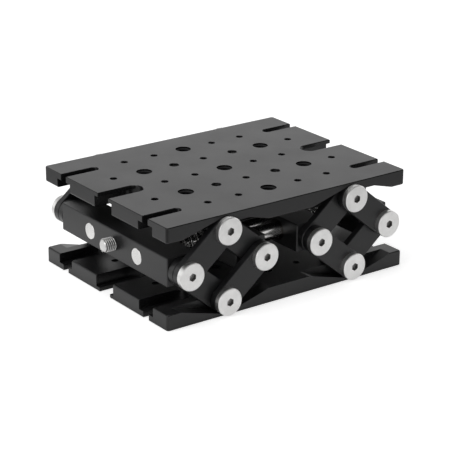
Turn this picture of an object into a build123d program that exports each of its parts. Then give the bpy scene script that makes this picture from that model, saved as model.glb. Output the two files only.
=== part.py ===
from build123d import *
import math
import os

os.makedirs("parts", exist_ok=True)

# Lab jack with two scissor linkages, raised by one lead screw. Millimetres, +Z up.
# The origin is the centre of the base plate's bottom face, and +X is the long way.
# Near is the -Y side. Everything is drawn at the height that it was photographed at.

# Plates: the base and the platform are the same machined plate, one of them turned over
plate_length = 199.0
plate_width = 150.0
plate_thick = 11.0
plate_corner = 2.0
plate_edge_break = 0.5
plate_inner_round = 1.2

# Hole grid of the plates
grid = 25.0
cap_hole = 6.6
cap_bore = 11.0
cap_bore_depth = 6.5
large_tap = 6.8
large_tap_mouth = 7.3
small_tap = 5.0
small_tap_mouth = 5.4

# T-slots at both ends of the plates
side_slot_width = 6.6
side_slot_wide = 16.4
side_slot_lip = 4.4
middle_slot_width = 13.0
middle_slot_wide = 21.0
middle_slot_lip = 2.8
slot_edge_break = 0.4

# Scissor linkage
arm_length = 38.86
arm_width = 18.8
arm_thick = 5.0
arm_edge_break = 0.35
rest_angle = 39.47
linkage_offset = 53.0
pivot_depth = 10.8

# Relief in the plates' long sides, where the arms fold in
relief_depth = 10.2
relief_reach = 36.5
relief_skin = 0.96

# Lugs on the plates, which hold the pivot screws
lug_radius = 9.0
lug_length = 12.6

# Pivot screws with a plain shoulder, and what is stacked on it
shoulder_diameter = 8.0
head_diameter = 19.0
head_thick = 4.0
head_edge_break = 0.5
socket_across_flats = 5.0
socket_depth = 2.6
pivot_thread = 6.0
pivot_thread_share = 0.6
washer_diameter = 15.0
base_washer_thick = 0.4
arm_washer_thick = 0.4
arm_bush_wall = 1.2

# Clearances
running_gap = 0.05
arm_clearance = 0.4
spring_clearance = 0.6
screw_clearance = 0.6

# Cross blocks: the pivots lie nearer the faces that look away from the linkage's middle
block_thick = 24.0
block_height = 20.0
block_edge_break = 0.6
block_pivot_inset = 9.5

# Guide rods: each pair ties two blocks and runs through the bushes of a third one
rod_diameter = 12.0
rod_a_offset = 28.7
rod_b_offset = 42.5
rod_end_break = 0.4
guide_bush_wall = 1.5

# Springs on the guide rods
spring_wire = 1.3

# Lead screw, its nut and its bearings
screw_diameter = 10.0
screw_tip = 8.0
screw_tip_chamfer = 1.2
journal_diameter = 8.0
thrust_collar_diameter = 16.0
thrust_collar_thick = 3.0
bearing_wall = 2.0
bearing_flange_diameter = 18.0
bearing_flange_thick = 1.5
bearing_length = 8.0
nut_diameter = 16.0
nut_length = 15.0
nut_flange_height = 19.0
nut_flange_width = 34.0
nut_flange_thick = 3.0
nut_screw_spacing = 24.0
nut_screw_diameter = 4.0
nut_screw_length = 8.0
nut_screw_head_diameter = 7.0
nut_screw_head_thick = 2.4
nut_screw_socket = 2.5
nut_screw_socket_depth = 1.3

# Shaft collar and knob
collar_diameter = 16.0
collar_length = 7.0
knob_gap = 0.5
knob_hub_diameter = 18.0
knob_hub_length = 6.0
knob_diameter = 32.0
knob_grip_length = 10.0
knob_flutes = 18
knob_flute_diameter = 3.2
knob_end_wall = 2.5
grub_diameter = 4.0
grub_socket = 2.0
grub_socket_depth = 2.0
grub_recess = 0.3

# Places worked out from the sizes above
half_reach = arm_length * math.cos(math.radians(rest_angle))
half_rise = arm_length * math.sin(math.radians(rest_angle))
base_pivot_z = pivot_depth
middle_z = base_pivot_z + half_rise
top_pivot_z = middle_z + half_rise
total_height = top_pivot_z + pivot_depth
mount_y = plate_width / 2 - relief_depth
back_arm_y = mount_y + base_washer_thick + running_gap
arm_washer_y = back_arm_y + arm_thick + running_gap
front_arm_y = arm_washer_y + arm_washer_thick + running_gap
head_y = front_arm_y + arm_thick + running_gap
pivot_thread_length = pivot_thread_share * (mount_y - rod_b_offset - rod_diameter / 2)
slot_centre = 3 * grid
side_slot_y = 2 * grid
overcut = 1.0

outer_left_x = -linkage_offset - half_reach
inner_left_x = -linkage_offset + half_reach
inner_right_x = linkage_offset - half_reach
outer_right_x = linkage_offset + half_reach
outer_left_start = outer_left_x - block_pivot_inset
inner_left_start = inner_left_x + block_pivot_inset - block_thick
inner_right_start = inner_right_x - block_pivot_inset
outer_right_start = outer_right_x + block_pivot_inset - block_thick
nut_face = outer_left_start + block_thick
screw_axis = Axis((0, 0, middle_z), (1, 0, 0))
sides = {"near": 1, "far": -1}


def finish(made, name):
    """Label one sub-part and write it to its file."""
    made.part.label = name
    export_step(made.part, f"parts/{name}.step")


def across(x):
    """The plane across the jack at x, seen along +X, with its origin on the lead screw."""
    return Plane(origin=(x, 0, middle_z), x_dir=(0, 1, 0), z_dir=(1, 0, 0))


def plate(name, outer, pivot_z, inward):
    """A base or platform plate. Its outer plane points out of the jack."""
    inner = outer.offset(-plate_thick)
    outer_z = outer.origin.Z
    inner_z = inner.origin.Z
    with BuildPart() as made:
        with BuildSketch(outer):
            RectangleRounded(plate_length, plate_width, plate_corner)
        extrude(amount=-plate_thick)
        outer_edge = made.faces().sort_by(Axis.Z)[0 if inward > 0 else -1].edges()
        inner_edge = made.faces().sort_by(Axis.Z)[-1 if inward > 0 else 0].edges()
        chamfer(outer_edge, plate_edge_break)
        fillet(inner_edge, plate_inner_round)

        # Lugs under the arms, and the tapped holes of their pivot screws
        for side in sides.values():
            with BuildSketch(Plane.XZ.offset(side * (mount_y - lug_length))):
                with Locations((-linkage_offset, pivot_z), (linkage_offset, pivot_z)):
                    Circle(lug_radius)
            extrude(amount=side * lug_length)
            with BuildSketch(Plane.XZ.offset(side * (mount_y - pivot_thread_length))):
                with Locations((-linkage_offset, pivot_z), (linkage_offset, pivot_z)):
                    Circle(pivot_thread / 2)
            extrude(amount=side * pivot_thread_length, mode=Mode.SUBTRACT)

            # Ramps that the arms fold against, with a round hollow about each pivot
            with BuildSketch(Plane.XZ.offset(side * mount_y)):
                for x in (-linkage_offset, linkage_offset):
                    with BuildLine():
                        Polyline(
                            (x - relief_reach, inner_z),
                            (x, outer_z + inward * relief_skin),
                            (x + relief_reach, inner_z),
                            close=True,
                        )
                    make_face()
                with Locations((-linkage_offset, pivot_z), (linkage_offset, pivot_z)):
                    Circle(arm_width / 2 + arm_clearance)
            extrude(amount=side * (relief_depth + overcut), mode=Mode.SUBTRACT)

        # T-slots: narrow at the outer face, wide inside
        slots = (
            (-side_slot_y, side_slot_width, side_slot_wide, side_slot_lip),
            (0, middle_slot_width, middle_slot_wide, middle_slot_lip),
            (side_slot_y, side_slot_width, side_slot_wide, side_slot_lip),
        )
        slot_run = plate_length / 2 - slot_centre + overcut
        for y, narrow, wide, lip in slots:
            for end in (-1, 1):
                shapes = (
                    (outer, narrow, -plate_thick, 0),
                    (inner, wide, plate_thick - lip, 0),
                    (outer, narrow + 2 * slot_edge_break, -slot_edge_break, 45),
                )
                for plane, width, depth, taper in shapes:
                    with BuildSketch(plane):
                        with Locations((end * (slot_centre + slot_run / 2), y)):
                            Rectangle(slot_run, width)
                        with Locations((end * slot_centre, y)):
                            Circle(width / 2)
                    extrude(amount=depth, taper=taper, mode=Mode.SUBTRACT)

        # Counterbored holes for cap screws, then the two sizes of tapped hole
        with Locations(outer):
            for columns, rows, across_x, across_y in ((2, 2, 4, 2), (1, 2, 1, 4), (1, 1, 1, 1)):
                with GridLocations(across_x * grid, across_y * grid, columns, rows):
                    CounterBoreHole(cap_hole / 2, cap_bore / 2, cap_bore_depth, plate_thick)
            with GridLocations(2 * grid, 2 * grid, 2, 2):
                CounterSinkHole(large_tap / 2, large_tap_mouth / 2, plate_thick, 90)
            small_rows = ((2, 2, 4, 4), (2, 2, 2, 4), (1, 2, 1, 2), (2, 2, 6, 2), (2, 1, 4, 1), (2, 1, 2, 1))
            for columns, rows, across_x, across_y in small_rows:
                with GridLocations(across_x * grid, across_y * grid, columns, rows):
                    CounterSinkHole(small_tap / 2, small_tap_mouth / 2, plate_thick, 90)
    finish(made, name)


def block(name, start, pivot_x, fixed_rods, guided_rods, screw_bore):
    """A cross block: rods pressed in at one spacing, bushes at another, the screw in the middle."""
    guide_bore = rod_diameter + 2 * (running_gap + guide_bush_wall)
    with BuildPart() as made:
        with BuildSketch(across(start)):
            Rectangle(2 * mount_y, block_height)
        extrude(amount=block_thick)
        chamfer(made.edges(), block_edge_break)
        with BuildSketch(across(start)):
            if fixed_rods:
                with Locations((-fixed_rods, 0), (fixed_rods, 0)):
                    Circle(rod_diameter / 2)
            if guided_rods:
                with Locations((-guided_rods, 0), (guided_rods, 0)):
                    Circle(guide_bore / 2)
            Circle(screw_bore / 2)
        extrude(amount=block_thick, mode=Mode.SUBTRACT)
        for side in sides.values():
            with BuildSketch(Plane.XZ.offset(side * (mount_y - pivot_thread_length))):
                with Locations((pivot_x, middle_z)):
                    Circle(pivot_thread / 2)
            extrude(amount=side * pivot_thread_length, mode=Mode.SUBTRACT)
        if name == "outer_left_block":
            with BuildSketch(across(nut_face - nut_length)):
                Circle(nut_diameter / 2)
            extrude(amount=nut_length, mode=Mode.SUBTRACT)
            with BuildSketch(across(nut_face - nut_screw_length)):
                with GridLocations(nut_screw_spacing, nut_screw_spacing, 2, 1):
                    Circle(nut_screw_diameter / 2)
            extrude(amount=nut_screw_length, mode=Mode.SUBTRACT)
    finish(made, name)


def arms(name, start, end, y):
    """The near and far arm between two pivots, each in its own file, and their four bushes."""
    bore = shoulder_diameter + 2 * running_gap
    housing = bore + 2 * arm_bush_wall
    middle = ((start[0] + end[0]) / 2, (start[1] + end[1]) / 2)
    angle = math.degrees(math.atan2(end[1] - start[1], end[0] - start[0]))
    for side_name, side in sides.items():
        with BuildPart() as made:
            with BuildSketch(Plane.XZ.offset(side * y)):
                with Locations(middle):
                    SlotCenterToCenter(arm_length, arm_width, rotation=angle)
            extrude(amount=side * arm_thick)
            chamfer(made.faces().filter_by(Axis.Y).edges(), arm_edge_break)
            with BuildSketch(Plane.XZ.offset(side * y)):
                with Locations(start, end):
                    Circle(housing / 2)
            extrude(amount=side * arm_thick, mode=Mode.SUBTRACT)
        finish(made, f"{name}_arm_{side_name}")
    with BuildPart() as made:
        for side in sides.values():
            with BuildSketch(Plane.XZ.offset(side * y)):
                with Locations(start, end):
                    Circle(housing / 2)
                    Circle(bore / 2, mode=Mode.SUBTRACT)
            extrude(amount=side * arm_thick)
    finish(made, f"{name}_arm_bushes")


def pivots(name, places):
    """Shoulder screws with their washers, at the same places on the near and far side."""
    with BuildPart() as made:
        for side in sides.values():
            for y, radius, length in (
                (mount_y - pivot_thread_length, pivot_thread / 2, pivot_thread_length),
                (mount_y, shoulder_diameter / 2, head_y - mount_y),
                (head_y, head_diameter / 2, head_thick),
            ):
                with BuildSketch(Plane.XZ.offset(side * y)):
                    with Locations(*places):
                        Circle(radius)
                extrude(amount=side * length)
            flat_faces = made.faces().filter_by(Plane.XZ).sort_by(Axis.Y, reverse=side < 0)
            chamfer(flat_faces[:len(places)].edges(), head_edge_break)
            with BuildSketch(Plane.XZ.offset(side * (head_y + head_thick - socket_depth))):
                with Locations(*places):
                    RegularPolygon(socket_across_flats / 2, 6, major_radius=False, rotation=30)
            extrude(amount=side * socket_depth, mode=Mode.SUBTRACT)
    finish(made, f"{name}_pivot_screws")
    with BuildPart() as made:
        for side in sides.values():
            for y, thick in ((mount_y, base_washer_thick), (arm_washer_y, arm_washer_thick)):
                with BuildSketch(Plane.XZ.offset(side * y)):
                    with Locations(*places):
                        Circle(washer_diameter / 2)
                        Circle(shoulder_diameter / 2 + running_gap, mode=Mode.SUBTRACT)
                extrude(amount=side * thick)
    finish(made, f"{name}_pivot_washers")


def rod(name, start_x, end_x, y):
    """A ground guide rod, flush with the blocks that hold its ends."""
    with BuildPart() as made:
        with BuildSketch(across(start_x)):
            with Locations((y, 0)):
                Circle(rod_diameter / 2)
        extrude(amount=end_x - start_x)
        chamfer(made.edges().filter_by(GeomType.CIRCLE), rod_end_break)
    finish(made, name)


def spring(name, start_x, end_x, y):
    """A coil spring on a guide rod, drawn as the sleeve that its coils fill."""
    inside = rod_diameter / 2 + spring_clearance
    with BuildPart() as made:
        with BuildSketch(across(start_x + running_gap)):
            with Locations((y, 0)):
                Circle(inside + spring_wire)
                Circle(inside, mode=Mode.SUBTRACT)
        extrude(amount=end_x - start_x - 2 * running_gap)
    finish(made, name)


def guide_bushes(name, start, offset):
    """The two bushes of one block, on which a pair of guide rods runs."""
    bore = rod_diameter / 2 + running_gap
    with BuildPart() as made:
        with BuildSketch(across(start)):
            with Locations((-offset, 0), (offset, 0)):
                Circle(bore + guide_bush_wall)
                Circle(bore, mode=Mode.SUBTRACT)
        extrude(amount=block_thick)
    finish(made, name)


base_outer = Plane(origin=(0, 0, 0), x_dir=(1, 0, 0), z_dir=(0, 0, -1))
top_outer = Plane.XY.offset(total_height)
plate("base_plate", base_outer, base_pivot_z, 1)
plate("top_plate", top_outer, top_pivot_z, -1)

# Arms: on the left the upper outer and lower inner ones lie in front, on the right they mirror that
outer_left = (outer_left_x, middle_z)
inner_left = (inner_left_x, middle_z)
inner_right = (inner_right_x, middle_z)
outer_right = (outer_right_x, middle_z)
base_left = (-linkage_offset, base_pivot_z)
base_right = (linkage_offset, base_pivot_z)
top_left = (-linkage_offset, top_pivot_z)
top_right = (linkage_offset, top_pivot_z)
arms("left_lower_outer", base_left, outer_left, back_arm_y)
arms("left_lower_inner", base_left, inner_left, front_arm_y)
arms("left_upper_outer", outer_left, top_left, front_arm_y)
arms("left_upper_inner", inner_left, top_left, back_arm_y)
arms("right_lower_inner", base_right, inner_right, front_arm_y)
arms("right_lower_outer", base_right, outer_right, back_arm_y)
arms("right_upper_inner", inner_right, top_right, back_arm_y)
arms("right_upper_outer", outer_right, top_right, front_arm_y)

pivots("base", (base_left, base_right))
pivots("top", (top_left, top_right))
pivots("outer_left", (outer_left,))
pivots("inner_left", (inner_left,))
pivots("inner_right", (inner_right,))
pivots("outer_right", (outer_right,))

# Blocks and guide rods: rods A tie the outer left to the inner right block, rods B the other two
screw_pass = screw_diameter + 2 * screw_clearance
screw_fit = screw_diameter + 2 * running_gap
bearing_bore = journal_diameter + 2 * (running_gap + bearing_wall)
block("outer_left_block", outer_left_start, outer_left_x, rod_a_offset, None, screw_fit)
block("inner_left_block", inner_left_start, inner_left_x, rod_b_offset, rod_a_offset, screw_pass)
block("inner_right_block", inner_right_start, inner_right_x, rod_a_offset, rod_b_offset, screw_pass)
block("outer_right_block", outer_right_start, outer_right_x, rod_b_offset, None, bearing_bore)
guide_bushes("inner_left_guide_bushes", inner_left_start, rod_a_offset)
guide_bushes("inner_right_guide_bushes", inner_right_start, rod_b_offset)
for side_name, side in sides.items():
    a_y = -side * rod_a_offset
    b_y = -side * rod_b_offset
    rod(f"guide_rod_a_{side_name}", outer_left_start, inner_right_start + block_thick, a_y)
    rod(f"guide_rod_b_{side_name}", inner_left_start, outer_right_start + block_thick, b_y)
    spring(f"spring_a_{side_name}", nut_face, inner_left_start, a_y)
    spring(f"spring_b_{side_name}", inner_right_start + block_thick, outer_right_start, b_y)

# Lead screw: threaded through the nut on the left, held between two flanged bushes on the right
screw_start = outer_left_start - screw_tip
bearing_left = outer_right_start
bearing_right = outer_right_start + block_thick
thrust_end = bearing_left - bearing_flange_thick - running_gap
collar_start = bearing_right + bearing_flange_thick + running_gap
knob_start = collar_start + collar_length + knob_gap
knob_end = knob_start + knob_hub_length + knob_grip_length
journal_end = knob_end - knob_end_wall
with BuildPart() as lead_screw:
    with BuildSketch(Plane.XZ):
        with BuildLine():
            Polyline(
                (screw_start, middle_z),
                (screw_start, middle_z + screw_diameter / 2 - screw_tip_chamfer),
                (screw_start + screw_tip_chamfer, middle_z + screw_diameter / 2),
                (thrust_end - thrust_collar_thick, middle_z + screw_diameter / 2),
                (thrust_end - thrust_collar_thick, middle_z + thrust_collar_diameter / 2),
                (thrust_end, middle_z + thrust_collar_diameter / 2),
                (thrust_end, middle_z + journal_diameter / 2),
                (journal_end, middle_z + journal_diameter / 2),
                (journal_end, middle_z),
                close=True,
            )
        make_face()
    revolve(axis=screw_axis)
finish(lead_screw, "lead_screw")

nut_start = nut_face - nut_length
with BuildPart() as lead_nut:
    with BuildSketch(across(nut_start)):
        Circle(nut_diameter / 2)
    extrude(amount=nut_length)
    with BuildSketch(across(nut_face)):
        SlotOverall(nut_flange_width, nut_flange_height)
        with GridLocations(nut_screw_spacing, nut_screw_spacing, 2, 1):
            Circle(nut_screw_diameter / 2, mode=Mode.SUBTRACT)
    extrude(amount=nut_flange_thick)
    with BuildSketch(across(nut_start)):
        Circle(screw_diameter / 2 + running_gap)
    extrude(amount=nut_length + nut_flange_thick, mode=Mode.SUBTRACT)
finish(lead_nut, "lead_nut")

nut_screw_face = nut_face + nut_flange_thick
with BuildPart() as nut_screws:
    with BuildSketch(across(nut_screw_face - nut_flange_thick - nut_screw_length)):
        with GridLocations(nut_screw_spacing, nut_screw_spacing, 2, 1):
            Circle(nut_screw_diameter / 2)
    extrude(amount=nut_screw_length + nut_flange_thick)
    with BuildSketch(across(nut_screw_face)):
        with GridLocations(nut_screw_spacing, nut_screw_spacing, 2, 1):
            Circle(nut_screw_head_diameter / 2)
    extrude(amount=nut_screw_head_thick)
    with BuildSketch(across(nut_screw_face + nut_screw_head_thick - nut_screw_socket_depth)):
        with GridLocations(nut_screw_spacing, nut_screw_spacing, 2, 1):
            RegularPolygon(nut_screw_socket / 2, 6, major_radius=False)
    extrude(amount=nut_screw_socket_depth, mode=Mode.SUBTRACT)
finish(nut_screws, "lead_nut_screws")

with BuildPart() as screw_bushes:
    for face_x, outwards in ((bearing_left, -1), (bearing_right, 1)):
        with BuildSketch(across(face_x)):
            Circle(bearing_flange_diameter / 2)
        extrude(amount=outwards * bearing_flange_thick)
        with BuildSketch(across(face_x)):
            Circle(bearing_bore / 2)
        extrude(amount=-outwards * bearing_length)
    with BuildSketch(across(bearing_left - bearing_flange_thick)):
        Circle(journal_diameter / 2 + running_gap)
    extrude(amount=block_thick + 2 * bearing_flange_thick, mode=Mode.SUBTRACT)
finish(screw_bushes, "lead_screw_bushes")

# Shaft collar and knob, each clamped to the lead screw by a grub screw from above
collar_grub_x = collar_start + collar_length / 2
knob_grub_x = knob_start + knob_hub_length / 2
with BuildPart() as shaft_collar:
    with BuildSketch(across(collar_start)):
        Circle(collar_diameter / 2)
    extrude(amount=collar_length)
    chamfer(shaft_collar.edges().filter_by(GeomType.CIRCLE), plate_edge_break)
    with BuildSketch(across(collar_start)):
        Circle(journal_diameter / 2)
    extrude(amount=collar_length, mode=Mode.SUBTRACT)
    with BuildSketch(Plane.XY.offset(middle_z)):
        with Locations((collar_grub_x, 0)):
            Circle(grub_diameter / 2)
    extrude(amount=collar_diameter, mode=Mode.SUBTRACT)
finish(shaft_collar, "shaft_collar")

with BuildPart() as knob:
    with BuildSketch(across(knob_start)):
        Circle(knob_hub_diameter / 2)
    extrude(amount=knob_hub_length + knob_grip_length)
    with BuildSketch(across(knob_start + knob_hub_length)):
        Circle(knob_diameter / 2)
        with PolarLocations(knob_diameter / 2, knob_flutes):
            Circle(knob_flute_diameter / 2, mode=Mode.SUBTRACT)
    extrude(amount=knob_grip_length)
    with BuildSketch(across(knob_start)):
        Circle(journal_diameter / 2)
    extrude(amount=journal_end - knob_start, mode=Mode.SUBTRACT)
    with BuildSketch(Plane.XY.offset(middle_z)):
        with Locations((knob_grub_x, 0)):
            Circle(grub_diameter / 2)
    extrude(amount=knob_hub_diameter, mode=Mode.SUBTRACT)
finish(knob, "knob")

with BuildPart() as grub_screws:
    for x, outside in ((collar_grub_x, collar_diameter / 2), (knob_grub_x, knob_hub_diameter / 2)):
        with BuildSketch(Plane.XY.offset(middle_z + journal_diameter / 2)):
            with Locations((x, 0)):
                Circle(grub_diameter / 2)
        extrude(amount=outside - grub_recess - journal_diameter / 2)
        with BuildSketch(Plane.XY.offset(middle_z + outside - grub_recess - grub_socket_depth)):
            with Locations((x, 0)):
                RegularPolygon(grub_socket / 2, 6, major_radius=False)
        extrude(amount=grub_socket_depth, mode=Mode.SUBTRACT)
finish(grub_screws, "grub_screws")
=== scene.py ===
import math

import bpy
from mathutils import Matrix, Vector


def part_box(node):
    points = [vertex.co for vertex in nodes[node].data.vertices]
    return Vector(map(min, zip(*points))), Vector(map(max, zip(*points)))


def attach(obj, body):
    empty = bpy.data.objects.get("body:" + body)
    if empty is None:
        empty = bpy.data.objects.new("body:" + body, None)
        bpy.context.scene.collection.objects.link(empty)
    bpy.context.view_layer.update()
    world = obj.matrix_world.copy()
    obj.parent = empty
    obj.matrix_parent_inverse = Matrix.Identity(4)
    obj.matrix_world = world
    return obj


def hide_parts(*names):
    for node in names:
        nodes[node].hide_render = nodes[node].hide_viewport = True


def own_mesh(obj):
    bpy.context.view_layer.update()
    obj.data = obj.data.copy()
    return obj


# A low lab jack: black anodised plates, arms and blocks, bright turned pivot screws.
# Metres throughout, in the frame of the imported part: +X along the lead screw, near is -Y.

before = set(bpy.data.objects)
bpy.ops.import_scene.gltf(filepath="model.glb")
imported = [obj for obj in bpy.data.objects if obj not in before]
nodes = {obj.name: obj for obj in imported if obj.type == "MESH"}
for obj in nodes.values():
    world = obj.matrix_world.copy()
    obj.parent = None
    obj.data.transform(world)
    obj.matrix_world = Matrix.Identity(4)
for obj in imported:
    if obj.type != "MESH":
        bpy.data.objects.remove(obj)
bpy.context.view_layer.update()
scene = bpy.context.scene

MM = 0.001

# Finishes, as linear colours
BLACK_ANODISE = (0.0105, 0.0105, 0.0112, 1)
# Lighter edge breaks: worn anodise, lightened further as a painted highlight
BLACK_WEAR_AND_HIGHLIGHT = (0.070, 0.070, 0.073, 1)
# Painted shade on the plates' edge breaks and on their counterbore walls
BLACK_PAINTED_SHADE = (0.003, 0.003, 0.0032, 1)
BLACK_MILLED = (0.0085, 0.0085, 0.009, 1)
# A band of painted highlight on the counterbore walls
BORE_WALL_HIGHLIGHT = (0.07, 0.07, 0.072, 1)
BRIGHT_STEEL = (0.74, 0.735, 0.725, 1)
TURNED_STEEL = (0.92, 0.915, 0.905, 1)
ROLLED_STEEL = (0.68, 0.676, 0.67, 1)
# Painted shade in the roots of the lead screw's thread
THREAD_ROOT_SHADE = (0.07, 0.068, 0.065, 1)
SPRING_STEEL = (0.40, 0.396, 0.39, 1)
# Painted shade in the pivot screws' hexagon sockets, darker on their walls
SOCKET_FLOOR_SHADE = (0.56, 0.555, 0.547, 1)
SOCKET_WALL_SHADE = (0.16, 0.158, 0.155, 1)
BRONZE = (0.030, 0.027, 0.024, 1)
BLACK_OXIDE = (0.018, 0.018, 0.019, 1)
DARK_ACETAL = (0.014, 0.014, 0.014, 1)
FLOOR_WHITE = (0.85, 0.85, 0.85)

# Surfaces: the spans of a noise that count, and the tone, roughness and edge wear with painted light that
# they give
NOISE_SPAN = (0.3, 0.7)
PATCH_SPAN = (0.35, 0.65)
PATCH_EDGE_SHARE = (0.4, 1.0)
CLOUD_TINT = (0.88, 1.12)
CLOUD_ROUGH = (-0.025, 0.025)
SMEAR_TINT = (0.93, 1.03)
LINE_ROUGH = (-0.05, 0.06)
BUMP_DISTANCE = 0.02 * MM
ANODISE_IOR = 1.5

# The largest part of the normal on a flat face, and on an edge break, which lies at a slant to the axes
EDGE_SLANT = (0.90, 0.74)

# A face counts as a wall along an axis when less than this of its normal points that way
WALL_LIMIT = 0.5

# The plates' slots lie beyond this distance from the middle, and their walls end just inside the outline
SLOTS_FROM = 60 * MM
OUTLINE_MARGIN = 0.9 * MM

# Tapped holes of the plates: radius, pitch and plain mouth, and the places of one plate's holes on the grid
GRID = 25 * MM
TAP_RUN = 9.0 * MM
LARGE_TAP = (3.4 * MM, 1.25 * MM, 1.6 * MM)
SMALL_TAP = (2.5 * MM, 1.0 * MM, 1.4 * MM)
LARGE_PLACES = [(x, y) for x in (-1, 1) for y in (-1, 1)]
SMALL_PLACES = [(x, y) for x in (-2, -1, 1, 2) for y in (-2, 2)] + [(0, -1), (0, 1)]
SMALL_PLACES += [(x, y) for x in (-3, 3) for y in (-1, 1)] + [(x, 0) for x in (-2, -1, 1, 2)]

# A thread's ridge starts at this share of its size
RIDGE_START = 0.2

# Ridges in tapped holes: how deep they stand in the wall, and depth, root and crest as shares of the pitch
TAP_SUNK = 0.04 * MM
TAP_DEPTH_SHARE = -0.5
TAP_ROOT_SHARE = 0.85
TAP_CREST_SHARE = 0.2

# Counterbores of the plates: reach of their walls, the depths between which a band of painted highlight lies
# on them, between painted shade at the rim and lower down, and their places in one quarter of the grid
BORE_REACH = 5.9 * MM
BORE_RIM = (0.9 * MM, 1.3 * MM)
BORE_DEEP = (1.9 * MM, 2.8 * MM)
BORE_PLACES = ((0, 0), (0, 2), (2, 1))

# Sockets of the pivot screws: radius, how far past it the painted shade fades, and the depth where it starts
SOCKET_RADIUS = 2.92 * MM
SOCKET_FADE = 1.015
SOCKET_SUNK = 0.08 * MM

# Lead screw: its thread, how deep the ridge stands in the core, and the share of it that is free of painted
# shade
SCREW_RADIUS = 5.0 * MM
SCREW_PITCH = 1.5 * MM
SCREW_DEPTH = 0.8 * MM
SCREW_CORE = SCREW_RADIUS - SCREW_DEPTH
SCREW_SUNK = 0.05 * MM
SCREW_ROOT_SHARE = 0.8
SCREW_CREST_SHARE = 0.14
UNSHADED_SHARE = 0.35

# Its tip, thrust collar and journal
SCREW_CHAMFER = 0.6 * MM
TIP_RADIUS = 3.4 * MM
THRUST_GAP = 0.05 * MM
THRUST_RADIUS = 8.0 * MM
THRUST_THICK = 3.0 * MM
THRUST_CHAMFER = 0.3 * MM
JOURNAL_RADIUS = 4.0 * MM
BAR_SIDES = 64
SHARP_ANGLE = math.radians(28)

# Springs
COIL_TURNS = 5.5
COIL_START = math.radians(215)
WIRE_RADIUS = 0.72 * MM

# The camera of the photograph, found from the grid of holes. Its shift is in pixels of the picture.
CAMERA_PLACE = (-0.67933, -0.92716, 0.46469)
CAMERA_AIM = (-0.0081, -0.0118, 0.0341)
CAMERA_ROLL = math.radians(0.31)
CAMERA_SHIFT = (-0.27, 0.31)
PICTURE_WIDTH = 449
FOCAL_LENGTH = 140.8
SENSOR = 36.0
CLIP_START = 0.05

# Floor: what the camera sees near the jack and far off, what is mirrored in front and at the back, and
# the shares that are left of its colour far off and of its mirrored light under the base plate
FLOOR_HALF = 6.0
FLOOR_CENTRE = (0.05, -0.03, 0)
FLOOR_REACH = (0.22, 0.34)
FLOOR_SHOWN = (0.62, 0.92)
FLOOR_DEPTH = (-0.15, 0.25)
FLOOR_MIRRORED = (0.16, 0.70)
FLOOR_FAR_SHARE = 0.42
FLOOR_UNDER_EDGE = (-2 * MM, 5 * MM)
FLOOR_UNDER_SHARE = 0.15

# World: its strength as a light, and at the horizon and the ceiling as mirrored
WORLD_LIGHT = 0.4
HORIZON_MIRRORED = 1.0
CEILING_MIRRORED = 0.15
CEILING_SPAN = (0.42, 0.62)

LAMP_AIM = (0, 0, 0.03)


def add_node(tree, kind, links=None, **settings):
    """A node of a tree with its settings, and its inputs linked or given values."""
    made = tree.nodes.new(kind)
    for key, value in settings.items():
        setattr(made, key, value)
    for key, value in (links or {}).items():
        if isinstance(value, bpy.types.NodeSocket):
            tree.links.new(value, made.inputs[key])
        else:
            made.inputs[key].default_value = value
    return made


def calc(tree, operation, *values):
    """The result of a Math node."""
    return add_node(tree, "ShaderNodeMath", dict(enumerate(values)), operation=operation).outputs[0]


def chain(tree, operation, values):
    """Several values joined by one operation, such as their product or the least of them."""
    values = list(values)
    result = values[0]
    for value in values[1:]:
        result = calc(tree, operation, result, value)
    return result


def ranged(tree, value, old, new):
    """A value carried from an old span to a new one, and held at both ends."""
    return add_node(tree, "ShaderNodeMapRange", {
        "Value": value, "From Min": old[0], "From Max": old[1],
        "To Min": new[0], "To Max": new[1]}).outputs[0]


def mixed(tree, share, first, second, kind="RGBA"):
    """Two colours mixed by a share, or two numbers where the kind is FLOAT."""
    return add_node(tree, "ShaderNodeMix", {"Factor": share, "A": first, "B": second},
                    data_type=kind).outputs["Result"]


def vector_calc(tree, operation, *values):
    """The vector that a Vector Math node gives."""
    return add_node(tree, "ShaderNodeVectorMath", dict(enumerate(values)), operation=operation).outputs[0]


def scaled(tree, vector, share):
    """A colour or vector times a number."""
    return add_node(tree, "ShaderNodeVectorMath", {0: vector, "Scale": share}, operation="SCALE").outputs[0]


def distance(tree, first, second):
    """The distance between two points."""
    return add_node(tree, "ShaderNodeVectorMath", {0: first, 1: second},
                    operation="DISTANCE").outputs["Value"]


def parts_of(tree, vector):
    """The X, Y and Z of a vector."""
    return add_node(tree, "ShaderNodeSeparateXYZ", {0: vector}).outputs


def noise(tree, vector, scale, detail, rough=0.5):
    """Noise of a given scale, with finer noise in it."""
    return add_node(tree, "ShaderNodeTexNoise", {
        "Vector": vector, "Scale": scale, "Detail": detail, "Roughness": rough}).outputs["Fac"]


def off_axes(tree, place, keep, axes):
    """How far a point is from the nearest of several parallel axes. keep is 0 along them and 1 across."""
    flat = vector_calc(tree, "MULTIPLY", place, keep)
    return chain(tree, "MINIMUM", [distance(tree, flat, axis) for axis in axes])


def walls(tree, normal, axis):
    """1 on the faces that run along an axis, 0 on those that lie across it."""
    part = calc(tree, "ABSOLUTE", parts_of(tree, normal)[axis])
    return calc(tree, "LESS_THAN", part, WALL_LIMIT)


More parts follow.
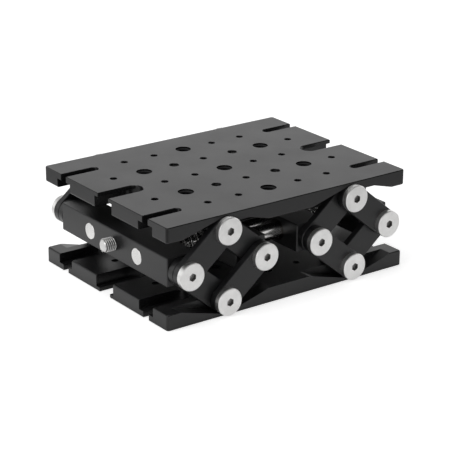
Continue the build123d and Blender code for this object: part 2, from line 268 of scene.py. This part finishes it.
def new_group(name, inputs):
    """A shader node group for a surface: the group, its inputs and its output node."""
    group = bpy.data.node_groups.new(name, "ShaderNodeTree")
    for label, kind, value in inputs:
        socket = group.interface.new_socket(label, in_out="INPUT", socket_type=kind)
        socket.default_value = value
    for label, kind in (("Color", "NodeSocketColor"), ("Roughness", "NodeSocketFloat"),
                        ("Normal", "NodeSocketVector")):
        group.interface.new_socket(label, in_out="OUTPUT", socket_type=kind)
    return group, group.nodes.new("NodeGroupInput").outputs, group.nodes.new("NodeGroupOutput")


def close_group(group, out, colour, rough, height, strength):
    """Sends out a surface's colour, its roughness and the normal of its bumps."""
    bump = add_node(group, "ShaderNodeBump", {
        "Strength": strength, "Distance": BUMP_DISTANCE, "Height": height})
    for label, value in (("Color", colour), ("Roughness", rough), ("Normal", bump.outputs[0])):
        group.links.new(value, out.inputs[label])
    return group


def anodise_group():
    """Black anodise: a fine blasted grain, faint clouds, and edge breaks with a tone of their own: worn with
    a painted highlight where that tone is lighter, painted shade where it is darker.
    """
    group, given, out = new_group("anodised_surface", (
        ("Base", "NodeSocketColor", BLACK_ANODISE),
        ("Edge Tone", "NodeSocketColor", BLACK_WEAR_AND_HIGHLIGHT),
        ("Rough", "NodeSocketFloat", 0.34),
        ("Grain Scale", "NodeSocketFloat", 2600.0),
        ("Grain Depth", "NodeSocketFloat", 0.3),
        ("Edge Wear And Painted Light", "NodeSocketFloat", 0.5),
        ("Edge Polish", "NodeSocketFloat", 0.08),
    ))
    place = add_node(group, "ShaderNodeTexCoord").outputs
    grain = noise(group, place["Object"], given["Grain Scale"], detail=3.0, rough=0.6)
    clouds = noise(group, place["Object"], scale=38.0, detail=4.0, rough=0.55)
    sizes = [calc(group, "ABSOLUTE", part) for part in parts_of(group, place["Normal"])]
    slant = ranged(group, chain(group, "MAXIMUM", sizes), EDGE_SLANT, (0.0, 1.0))
    patchy = ranged(group, clouds, PATCH_SPAN, PATCH_EDGE_SHARE)
    # Edge breaks take the edge tone: worn with a painted highlight on arms, blocks and knob, painted shade on
    # the plates
    edge_wear_and_painted_light = chain(group, "MULTIPLY", (slant, given["Edge Wear And Painted Light"], patchy))
    cloudy = scaled(group, given["Base"], ranged(group, clouds, NOISE_SPAN, CLOUD_TINT))
    colour = mixed(group, edge_wear_and_painted_light, cloudy, given["Edge Tone"])
    rough = calc(group, "ADD", given["Rough"], ranged(group, clouds, NOISE_SPAN, CLOUD_ROUGH))
    rough = calc(group, "SUBTRACT", rough, calc(group, "MULTIPLY", edge_wear_and_painted_light, given["Edge Polish"]))
    return close_group(group, out, colour, rough, grain, given["Grain Depth"])


def metal_group():
    """Bare metal: fine machining lines, which follow a vector of their own, and faint smears."""
    group, given, out = new_group("machined_surface", (
        ("Base", "NodeSocketColor", BRIGHT_STEEL),
        ("Rough", "NodeSocketFloat", 0.25),
        ("Line Vector", "NodeSocketVector", (0, 0, 0)),
        ("Line Scale", "NodeSocketFloat", 3000.0),
        ("Line Depth", "NodeSocketFloat", 0.3),
    ))
    place = add_node(group, "ShaderNodeTexCoord").outputs
    lines = noise(group, given["Line Vector"], given["Line Scale"], detail=2.0)
    smear = noise(group, place["Object"], scale=180.0, detail=3.0)
    colour = scaled(group, given["Base"], ranged(group, smear, NOISE_SPAN, SMEAR_TINT))
    rough = calc(group, "ADD", given["Rough"], ranged(group, lines, NOISE_SPAN, LINE_ROUGH))
    return close_group(group, out, colour, rough, lines, given["Line Depth"])


ANODISE = anodise_group()
MACHINED = metal_group()


def new_material(name):
    """A new node material, its tree and its shader."""
    material = bpy.data.materials.new(name)
    material.use_nodes = True
    return material, material.node_tree, material.node_tree.nodes["Principled BSDF"]


def use_group(tree, shader, group, values):
    """A shared group placed in a material with its own values, feeding the shader."""
    placed = add_node(tree, "ShaderNodeGroup", values, node_tree=group)
    for made, fed in (("Color", "Base Color"), ("Roughness", "Roughness"), ("Normal", "Normal")):
        tree.links.new(placed.outputs[made], shader.inputs[fed])


def anodised(name, rough, edge_wear_and_painted_light, base=BLACK_ANODISE, grain=0.3):
    """Black anodised aluminium, or black plastic where it shows no wear."""
    material, tree, shader = new_material(name)
    use_group(tree, shader, ANODISE, {
        "Base": base, "Rough": rough, "Grain Depth": grain, "Edge Wear And Painted Light": edge_wear_and_painted_light})
    shader.inputs["IOR"].default_value = ANODISE_IOR
    return material


def plate_anodised(name, rough, milled_rough, edge_wear_and_painted_light, polish):
    """Anodise of the plates: blasted outside, smoother where slots and counterbores are cut and darker in the
    slots; painted shade on the edge breaks and the counterbore walls, with a band of painted highlight on the
    latter.
    """
    material, tree, shader = new_material(name)
    place = add_node(tree, "ShaderNodeTexCoord").outputs
    spot = parts_of(tree, place["Object"])
    upright = walls(tree, place["Normal"], "Z")
    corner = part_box("base_plate")[1]
    across, along = [calc(tree, "ABSOLUTE", spot[part]) for part in "XY"]
    milled = chain(tree, "MULTIPLY", (
        calc(tree, "GREATER_THAN", across, SLOTS_FROM),
        calc(tree, "LESS_THAN", across, corner.x - OUTLINE_MARGIN),
        calc(tree, "LESS_THAN", along, corner.y - OUTLINE_MARGIN),
        upright))
    # Both plates are bored alike in every quarter, and depth counts from the nearer outer face
    depth = calc(tree, "MINIMUM", calc(tree, "SUBTRACT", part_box("top_plate")[1].z, spot["Z"]), spot["Z"])
    band = calc(tree, "MULTIPLY", ranged(tree, depth, BORE_RIM, (0.0, 1.0)),
                ranged(tree, depth, BORE_DEEP, (1.0, 0.0)))
    away = off_axes(tree, vector_calc(tree, "ABSOLUTE", place["Object"]), (1, 1, 0),
                    [(column * GRID, row * GRID, 0) for column, row in BORE_PLACES])
    bored = calc(tree, "MULTIPLY", calc(tree, "LESS_THAN", away, BORE_REACH), upright)
    # A band of painted highlight on the counterbore walls, between painted shade at the rim and lower down
    highlight_band = calc(tree, "MULTIPLY", bored, band)
    tone = mixed(tree, milled, BLACK_ANODISE, BLACK_MILLED)
    # Painted shade on the counterbore walls
    tone = mixed(tree, bored, tone, BLACK_PAINTED_SHADE)
    tone = mixed(tree, highlight_band, tone, BORE_WALL_HIGHLIGHT)
    # Round walls pass through every slant, so the painted shade of edge breaks is kept off them
    edge_shade = mixed(tree, bored, edge_wear_and_painted_light, 0.0, "FLOAT")
    finish = mixed(tree, calc(tree, "MAXIMUM", milled, bored), rough, milled_rough, "FLOAT")
    use_group(tree, shader, ANODISE, {
        "Base": tone, "Rough": finish, "Edge Wear And Painted Light": edge_shade, "Edge Tone": BLACK_PAINTED_SHADE, "Edge Polish": polish})
    shader.inputs["IOR"].default_value = ANODISE_IOR
    return material


def machined(name, base, rough, line_scale, line_depth, fineness=(1, 1, 1), metallic=1.0):
    """Bare metal. Its lines run round the axis along which they are finer than along the others."""
    material, tree, shader = new_material(name)
    place = add_node(tree, "ShaderNodeTexCoord").outputs
    stretched = add_node(tree, "ShaderNodeMapping", {"Vector": place["Object"], "Scale": fineness})
    use_group(tree, shader, MACHINED, {
        "Base": base, "Rough": rough, "Line Vector": stretched.outputs[0],
        "Line Scale": line_scale, "Line Depth": line_depth})
    shader.inputs["Metallic"].default_value = metallic
    return material


def turned(name, base, rough, centres, face_y):
    """Faces turned on a lathe about the Y axis: rings round the nearest pivot centre, and painted shade in
    the sockets.
    """
    material, tree, shader = new_material(name)
    place = add_node(tree, "ShaderNodeTexCoord").outputs
    depth = parts_of(tree, place["Object"])["Y"]
    radius = off_axes(tree, place["Object"], (1, 0, 1), [(x, 0, z) for x, z in centres])
    rings = add_node(tree, "ShaderNodeCombineXYZ", {"X": radius, "Y": depth})
    # Painted shade in the hexagon sockets, most of it on their walls
    hollow = ranged(tree, radius, (SOCKET_RADIUS, SOCKET_RADIUS * SOCKET_FADE), (1.0, 0.0))
    sunk = calc(tree, "LESS_THAN", calc(tree, "ABSOLUTE", depth), face_y - SOCKET_SUNK)
    inside = calc(tree, "MULTIPLY", hollow, sunk)
    socket_shade = mixed(tree, walls(tree, place["Normal"], "Y"), SOCKET_FLOOR_SHADE, SOCKET_WALL_SHADE)
    use_group(tree, shader, MACHINED, {
        "Base": mixed(tree, inside, base, socket_shade), "Rough": rough, "Line Vector": rings.outputs[0],
        "Line Scale": 2400.0, "Line Depth": 0.5})
    shader.inputs["Metallic"].default_value = 1.0
    return material


def threaded(name, base, rough, axis_z):
    """Rolled steel of a thread about the X axis, with painted shade in its roots."""
    material, tree, shader = new_material(name)
    place = add_node(tree, "ShaderNodeTexCoord").outputs["Object"]
    radius = off_axes(tree, place, (0, 1, 1), [(0, 0, axis_z)])
    # Painted shade darkens the roots of the thread, past the chamfered tip
    root_shade = ranged(tree, radius, (SCREW_CORE + SCREW_SUNK, SCREW_RADIUS - UNSHADED_SHARE * SCREW_DEPTH),
                   (1.0, 0.0))
    past_tip = calc(tree, "GREATER_THAN", parts_of(tree, place)["X"],
                    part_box("lead_screw")[0].x + SCREW_CHAMFER)
    tone = mixed(tree, calc(tree, "MULTIPLY", root_shade, past_tip), base, THREAD_ROOT_SHADE)
    use_group(tree, shader, MACHINED, {
        "Base": tone, "Rough": rough, "Line Vector": place, "Line Scale": 1500.0, "Line Depth": 0.3})
    shader.inputs["Metallic"].default_value = 1.0
    return material


def paint(names, material):
    """Give CAD nodes one material."""
    for name in names:
        nodes[name].data.materials.clear()
        nodes[name].data.materials.append(material)


def placed_object(name, data):
    """A new object at the origin of the scene."""
    made = bpy.data.objects.new(name, data)
    scene.collection.objects.link(made)
    return made


def modifier_input(modifier, label, value):
    """Set a Geometry Nodes input by its socket's identifier."""
    for item in modifier.node_group.interface.items_tree:
        if item.item_type == "SOCKET" and item.in_out == "INPUT" and item.name == label:
            modifier[item.identifier] = value


def geometry_tree(name, inputs):
    """A Geometry Nodes tree with named inputs and a material: the tree, its inputs and its output node."""
    tree = bpy.data.node_groups.new(name, "GeometryNodeTree")
    for label, kind, value in inputs:
        tree.interface.new_socket(label, in_out="INPUT", socket_type=kind).default_value = value
    tree.interface.new_socket("Surface", in_out="INPUT", socket_type="NodeSocketMaterial")
    tree.interface.new_socket("Geometry", in_out="OUTPUT", socket_type="NodeSocketGeometry")
    return tree, tree.nodes.new("NodeGroupInput").outputs, tree.nodes.new("NodeGroupOutput")


def finish_tree(tree, given, out, geometry):
    """Realize Instances and Set Material at the end of a tree."""
    solid = add_node(tree, "GeometryNodeRealizeInstances", {"Geometry": geometry})
    finish = add_node(tree, "GeometryNodeSetMaterial", {
        "Geometry": solid.outputs[0], "Material": given["Surface"]})
    tree.links.new(finish.outputs[0], out.inputs[0])
    return tree


def coil_tree():
    """A round wire wound in a helix about Z, from the origin upwards."""
    tree, given, out = geometry_tree("wound_coil", (
        ("Turns", "NodeSocketFloat", 6.0),
        ("Height", "NodeSocketFloat", 0.04),
        ("Radius", "NodeSocketFloat", 0.007),
        ("Wire", "NodeSocketFloat", 0.0006),
        ("Steps", "NodeSocketInt", 32),
        ("Sides", "NodeSocketInt", 8),
    ))
    line = add_node(tree, "GeometryNodeCurveSpiral", {
        "Resolution": given["Steps"], "Rotations": given["Turns"],
        "Start Radius": given["Radius"], "End Radius": given["Radius"], "Height": given["Height"]})
    section = add_node(tree, "GeometryNodeCurvePrimitiveCircle", {
        "Resolution": given["Sides"], "Radius": given["Wire"]})
    wire = add_node(tree, "GeometryNodeCurveToMesh", {
        "Curve": line.outputs[0], "Profile Curve": section.outputs[0], "Fill Caps": True})
    smooth = add_node(tree, "GeometryNodeSetShadeSmooth", {"Geometry": wire.outputs[0]})
    return finish_tree(tree, given, out, smooth.outputs[0])


def ridge_tree():
    """A thread's ridge: a trapezoid swept along a helix about Z, pointing out or in."""
    tree, given, out = geometry_tree("thread_ridge", (
        ("Turns", "NodeSocketFloat", 10.0),
        ("Height", "NodeSocketFloat", 0.015),
        ("Root Radius", "NodeSocketFloat", 0.004),
        ("Depth", "NodeSocketFloat", 0.0008),
        ("Root Width", "NodeSocketFloat", 0.0013),
        ("Crest Width", "NodeSocketFloat", 0.0003),
        ("Run In", "NodeSocketFloat", 0.05),
        ("Steps", "NodeSocketInt", 24),
    ))
    line = add_node(tree, "GeometryNodeCurveSpiral", {
        "Resolution": given["Steps"], "Rotations": given["Turns"],
        "Start Radius": given["Root Radius"], "End Radius": given["Root Radius"],
        "Height": given["Height"], "Reverse": True})
    upright = add_node(tree, "GeometryNodeSetCurveNormal", {"Curve": line.outputs[0]}, mode="Z_UP")
    # The ridge grows over its run-in, as on a chamfered end
    along = add_node(tree, "GeometryNodeSplineParameter").outputs["Factor"]
    full_from = calc(tree, "SUBTRACT", 1.0, given["Run In"])
    growing = add_node(tree, "GeometryNodeSetCurveRadius", {
        "Curve": upright.outputs[0], "Radius": ranged(tree, along, (1.0, full_from), (RIDGE_START, 1.0))})
    corners = {}
    for label, side, depth_share in (("Root Width", -0.5, 0), ("Root Width", 0.5, 0),
                                     ("Crest Width", 0.5, 1), ("Crest Width", -0.5, 1)):
        corner = add_node(tree, "ShaderNodeCombineXYZ", {
            "X": calc(tree, "MULTIPLY", given["Depth"], depth_share),
            "Y": calc(tree, "MULTIPLY", given[label], side)})
        corners[f"Point {len(corners) + 1}"] = corner.outputs[0]
    section = add_node(tree, "GeometryNodeCurvePrimitiveQuadrilateral", corners, mode="POINTS")
    ridge = add_node(tree, "GeometryNodeCurveToMesh", {
        "Curve": growing.outputs[0], "Profile Curve": section.outputs[0], "Fill Caps": True})
    return finish_tree(tree, given, out, ridge.outputs[0])


COIL = coil_tree()
RIDGE = ridge_tree()


def grown(name, tree, values, place):
    """The plain mesh that a Geometry Nodes tree makes, moved to its place."""
    holder = placed_object(name, bpy.data.meshes.new(name + "_seed"))
    modifier = holder.modifiers.new("grow", "NODES")
    modifier.node_group = tree
    for label, value in values.items():
        modifier_input(modifier, label, value)
    graph = bpy.context.evaluated_depsgraph_get()
    mesh = bpy.data.meshes.new_from_object(holder.evaluated_get(graph))
    holder.modifiers.remove(modifier)
    holder.data = mesh
    mesh.transform(place)
    mesh.name = name
    return holder


def joined(name, pieces):
    """Several meshes as one object at the origin."""
    bpy.ops.object.select_all(action="DESELECT")
    for piece in pieces:
        piece.select_set(True)
    bpy.context.view_layer.objects.active = pieces[0]
    bpy.ops.object.join()
    pieces[0].name = name
    return pieces[0]


def turned_bar(name, profile, material):
    """A closed bar turned about the X axis from (x, radius) points, first and last on the axis."""
    points = [(profile[0][0], 0, 0)]
    for x, radius in profile[1:-1]:
        for k in range(BAR_SIDES):
            turn = 2 * math.pi * k / BAR_SIDES
            points.append((x, radius * math.cos(turn), radius * math.sin(turn)))
    points.append((profile[-1][0], 0, 0))
    last = len(points) - 1
    last_ring = last - BAR_SIDES
    faces = []
    for k in range(BAR_SIDES):
        after = (k + 1) % BAR_SIDES
        faces.append((0, 1 + after, 1 + k))
        for here in range(1, last_ring, BAR_SIDES):
            there = here + BAR_SIDES
            faces.append((here + k, here + after, there + after, there + k))
        faces.append((last_ring + k, last_ring + after, last))
    mesh = bpy.data.meshes.new(name)
    mesh.from_pydata(points, [], faces)
    mesh.materials.append(material)
    mesh.shade_smooth()
    mesh.set_sharp_from_angle(angle=SHARP_ANGLE)
    return placed_object(name, mesh)


def along_x(point):
    """Turns a shape made about Z to lie along +X from a point."""
    return Matrix.Translation(point) @ Matrix.Rotation(math.pi / 2, 4, "Y")


def pivot_centres():
    """The x and z of every pivot screw. A plate's node has them at both ends, a block's node at one place."""
    centres = []
    for node in ("base", "top", "outer_left", "inner_left", "inner_right", "outer_right"):
        low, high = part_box(node + "_pivot_screws")
        radius = (high.z - low.z) / 2
        middle = (low + high) / 2
        ends = (low.x + radius, high.x - radius) if node in ("base", "top") else (middle.x,)
        centres += [(x, middle.z) for x in ends]
    return centres


# Materials
screw_low, screw_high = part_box("lead_screw")
screw_z = (screw_low.z + screw_high.z) / 2
plate_black = plate_anodised("plate_black_anodise", rough=0.33, milled_rough=0.24, edge_wear_and_painted_light=0.95, polish=0.18)
arm_black = anodised("arm_black_anodise", rough=0.36, edge_wear_and_painted_light=0.3)
block_black = anodised("block_black_anodise", rough=0.36, edge_wear_and_painted_light=0.2)
knob_black = anodised("knob_black_anodise", rough=0.3, edge_wear_and_painted_light=0.3)
acetal = anodised("dark_acetal", rough=0.42, edge_wear_and_painted_light=0.0, base=DARK_ACETAL, grain=0.15)
turned_steel = turned("turned_stainless", TURNED_STEEL, rough=0.38, centres=pivot_centres(),
                      face_y=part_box("base_pivot_screws")[1].y)
ground_steel = machined("ground_rod_steel", BRIGHT_STEEL, rough=0.22, line_scale=900.0, line_depth=0.15,
                        fineness=(12, 1, 1))
screw_steel = threaded("rolled_thread_steel", ROLLED_STEEL, rough=0.24, axis_z=screw_z)
spring_steel = machined("spring_steel", SPRING_STEEL, rough=0.22, line_scale=1200.0, line_depth=0.2)
bronze = machined("bearing_bronze", BRONZE, rough=0.32, line_scale=1800.0, line_depth=0.4,
                  fineness=(6, 1, 1))
oxide = machined("black_oxide_steel", BLACK_OXIDE, rough=0.38, line_scale=1500.0, line_depth=0.3,
                 metallic=0.4)

paint(("base_plate", "top_plate"), plate_black)
paint([n for n in nodes if n.endswith(("_arm_near", "_arm_far"))], arm_black)
paint([n for n in nodes if n.endswith("_block")], block_black)
paint([n for n in nodes if n.endswith("_pivot_screws")], turned_steel)
paint([n for n in nodes if n.endswith("_pivot_washers")], acetal)
paint([n for n in nodes if n.endswith("bushes")] + ["lead_nut"], bronze)
paint([n for n in nodes if n.startswith("guide_rod")], ground_steel)
paint([n for n in nodes if n.startswith("spring_")], spring_steel)
paint(("knob", "shaft_collar"), knob_black)
paint(("lead_nut_screws", "grub_screws"), oxide)
paint(("lead_screw",), screw_steel)


# Springs: a coil in the place of each plain sleeve
for node, body in (("spring_a_near", "carriage_a"), ("spring_a_far", "carriage_a"),
                   ("spring_b_near", "carriage_b"), ("spring_b_far", "carriage_b")):
    low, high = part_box(node)
    outside = (high.z - low.z) / 2
    length = high.x - low.x
    middle = (low + high) / 2
    start = Vector((low.x + WIRE_RADIUS, middle.y, middle.z))
    piece = grown(node + "_coil", COIL, {
        "Turns": COIL_TURNS, "Height": length - 2 * WIRE_RADIUS, "Radius": outside - WIRE_RADIUS,
        "Wire": WIRE_RADIUS, "Steps": 40, "Sides": 10, "Surface": spring_steel},
        along_x(start) @ Matrix.Rotation(COIL_START, 4, "Z"))
    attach(piece, body)
    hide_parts(node)
    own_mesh(piece)


# Lead screw: a real thread on the bar, with the thrust collar and journal of the solid
tip = screw_low.x
thrust_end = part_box("lead_screw_bushes")[0].x - THRUST_GAP
thread_end = thrust_end - THRUST_THICK
bar = turned_bar("lead_screw_bar", (
    (tip, 0), (tip, TIP_RADIUS), (tip + SCREW_CHAMFER, SCREW_CORE), (thread_end, SCREW_CORE),
    (thread_end, THRUST_RADIUS - THRUST_CHAMFER), (thread_end + THRUST_CHAMFER, THRUST_RADIUS),
    (thrust_end - THRUST_CHAMFER, THRUST_RADIUS), (thrust_end, THRUST_RADIUS - THRUST_CHAMFER),
    (thrust_end, JOURNAL_RADIUS), (screw_high.x, JOURNAL_RADIUS), (screw_high.x, 0),
), screw_steel)
bar.data.transform(Matrix.Translation((0, 0, screw_z)))
thread_start = tip + SCREW_CHAMFER
thread_run = thread_end - SCREW_PITCH - thread_start
thread = grown("lead_screw_ridge", RIDGE, {
    "Turns": thread_run / SCREW_PITCH, "Height": thread_run, "Root Radius": SCREW_CORE - SCREW_SUNK,
    "Depth": SCREW_DEPTH + SCREW_SUNK, "Root Width": SCREW_ROOT_SHARE * SCREW_PITCH,
    "Crest Width": SCREW_CREST_SHARE * SCREW_PITCH, "Run In": SCREW_PITCH / thread_run,
    "Steps": 28, "Surface": screw_steel},
    along_x(Vector((thread_start, 0, screw_z))))
screw = joined("lead_screw_threaded", [bar, thread])
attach(screw, "lead_screw")
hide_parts("lead_screw")

# Threads in the plates' tapped holes, one piece on each plate
for plate, body, outward in (("base_plate", "base", -1), ("top_plate", "platform", 1)):
    low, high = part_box(plate)
    outer = low.z if outward < 0 else high.z
    ridges = []
    for (radius, pitch, mouth), places in ((LARGE_TAP, LARGE_PLACES), (SMALL_TAP, SMALL_PLACES)):
        bottom = outer - outward * mouth - (TAP_RUN if outward > 0 else 0)
        for column, row in places:
            ridges.append(grown(f"{plate}_tap_{len(ridges)}", RIDGE, {
                "Turns": TAP_RUN / pitch, "Height": TAP_RUN, "Root Radius": radius + TAP_SUNK,
                "Depth": TAP_DEPTH_SHARE * pitch, "Root Width": TAP_ROOT_SHARE * pitch,
                "Crest Width": TAP_CREST_SHARE * pitch, "Steps": 14, "Surface": plate_black},
                Matrix.Translation((column * GRID, row * GRID, bottom))))
    taps = joined(plate + "_tapped_threads", ridges)
    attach(taps, body)


def aimed(place, aim):
    """Stands at a place and points at another."""
    turn = (Vector(aim) - Vector(place)).to_track_quat("-Z", "Y").to_matrix().to_4x4()
    return Matrix.Translation(place) @ turn


# Camera
lens = bpy.data.cameras.new("camera")
lens.lens = FOCAL_LENGTH
lens.sensor_width = SENSOR
lens.shift_x, lens.shift_y = [shift / PICTURE_WIDTH for shift in CAMERA_SHIFT]
lens.clip_start = CLIP_START
camera = placed_object("camera", lens)
camera.matrix_world = aimed(CAMERA_PLACE, CAMERA_AIM) @ Matrix.Rotation(CAMERA_ROLL, 4, "Z")
scene.camera = camera


def floor_material():
    """Pale paper: white for the camera, and dimmer where metal mirrors it in front, far off and below."""
    material, tree, shader = new_material("floor_paper")
    path = add_node(tree, "ShaderNodeLightPath").outputs
    place = add_node(tree, "ShaderNodeTexCoord").outputs["Object"]
    spot = parts_of(tree, place)
    reach = distance(tree, place, FLOOR_CENTRE)
    share = ranged(tree, reach, FLOOR_REACH, (1.0, FLOOR_FAR_SHARE))
    # Inside the base plate's slots the floor is in shadow, so little of it is mirrored there
    past_edge = [calc(tree, "SUBTRACT", calc(tree, "ABSOLUTE", spot[part]), half)
                 for part, half in zip("XY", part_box("base_plate")[1])]
    uncovered = ranged(tree, chain(tree, "MAXIMUM", past_edge), FLOOR_UNDER_EDGE, (FLOOR_UNDER_SHARE, 1.0))
    mirrored = chain(tree, "MULTIPLY", (
        ranged(tree, spot["Y"], FLOOR_DEPTH, FLOOR_MIRRORED), uncovered, share, path["Is Glossy Ray"]))
    shown = ranged(tree, reach, FLOOR_REACH, FLOOR_SHOWN)
    glow = calc(tree, "MULTIPLY_ADD", path["Is Camera Ray"], shown, mirrored)
    tree.links.new(scaled(tree, FLOOR_WHITE, share), shader.inputs["Base Color"])
    tree.links.new(glow, shader.inputs["Emission Color"])
    shader.inputs["Emission Strength"].default_value = 1.0
    shader.inputs["Roughness"].default_value = 0.9
    shader.inputs["Specular IOR Level"].default_value = 0.1
    return material


# Floor, which keeps the jack's shadow
paper = bpy.data.meshes.new("floor")
paper.from_pydata([(x * FLOOR_HALF, y * FLOOR_HALF, 0) for x, y in ((-1, -1), (1, -1), (1, 1), (-1, 1))],
                  [], [(0, 1, 2, 3)])
paper.materials.append(floor_material())
floor = placed_object("floor", paper)

# World: white to the camera, bright round the jack and dark overhead in reflections, softer as a light
world = bpy.data.worlds.new("studio")
scene.world = world
world.use_nodes = True
air = world.node_tree
path = add_node(air, "ShaderNodeLightPath").outputs
heading = add_node(air, "ShaderNodeTexCoord").outputs["Generated"]
studio = ranged(air, parts_of(air, heading)["Z"], CEILING_SPAN,
                (HORIZON_MIRRORED - WORLD_LIGHT, CEILING_MIRRORED - WORLD_LIGHT))
mirrored = calc(air, "MULTIPLY_ADD", path["Is Glossy Ray"], studio, WORLD_LIGHT)
sky = air.nodes["Background"]
sky.inputs["Color"].default_value = (1, 1, 1, 1)
air.links.new(calc(air, "MAXIMUM", path["Is Camera Ray"], mirrored), sky.inputs["Strength"])


def soft_lamp(name, place, size, power):
    """A square soft box that points at the jack."""
    data = bpy.data.lights.new(name, "AREA")
    data.shape = "SQUARE"
    data.size = size
    data.energy = power
    placed_object(name, data).matrix_world = aimed(place, LAMP_AIM)


soft_lamp("top_box", place=(-0.2, 0.1, 1.2), size=0.9, power=4.0)
soft_lamp("left_box", place=(-1.1, -0.1, 0.7), size=0.6, power=2.0)

scene.view_settings.view_transform = "Standard"
